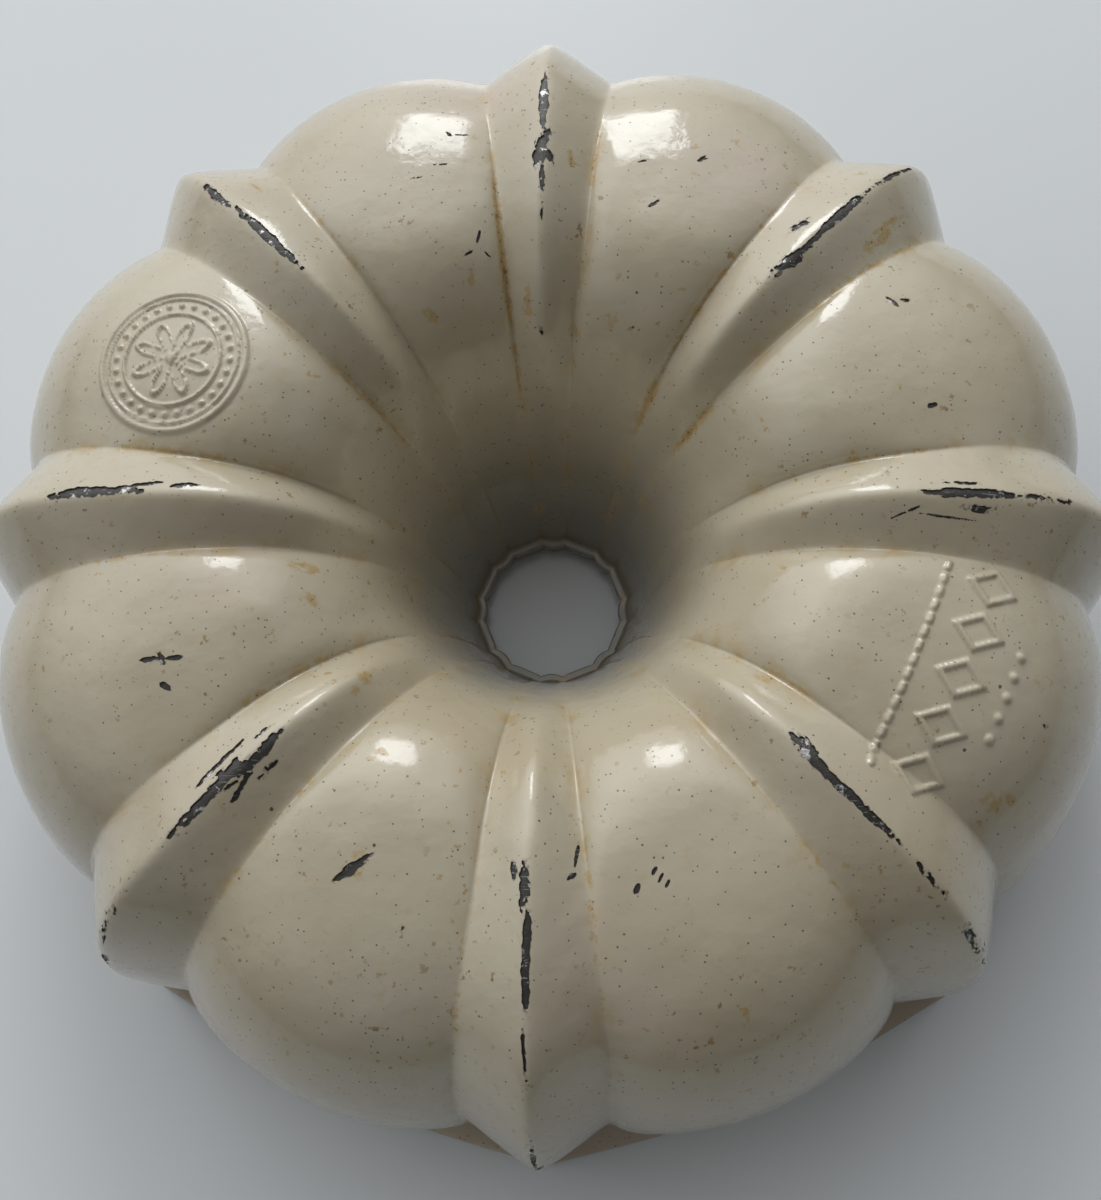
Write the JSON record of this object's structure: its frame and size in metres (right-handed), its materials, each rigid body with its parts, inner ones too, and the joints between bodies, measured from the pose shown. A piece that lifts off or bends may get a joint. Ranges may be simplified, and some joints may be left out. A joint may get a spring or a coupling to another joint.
{
  "type": "fluted tube cake pan",
  "caption": "Round fluted cake pan with a hollow centre tube, enamelled outside and non-stick inside, lying crown up on its rim.",
  "frame": {"origin": "centre of the rim, in the mouth plane that the pan rests on when it lies crown up", "axes": "+Z along the pan's axis from the mouth plane towards the crown; one ridge points along -Y and the others follow every 45 degrees"},
  "size_m": [0.2602, 0.2602, 0.089],
  "materials": {
    "casting": "as cast, dulled and darkened by use, bright where it is rubbed",
    "enamel_coat": "glossy cream enamel with fine dark specks, amber baking stains in the grooves and chips along the ridge crests",
    "nonstick_coat": "satin dark grey non-stick coating, lightly scratched"
  },
  "bodies": {
    "root": {"casting": "casting", "enamel_coat": "enamel_coat", "nonstick_coat": "nonstick_coat"}
  },
  "joints": []
}
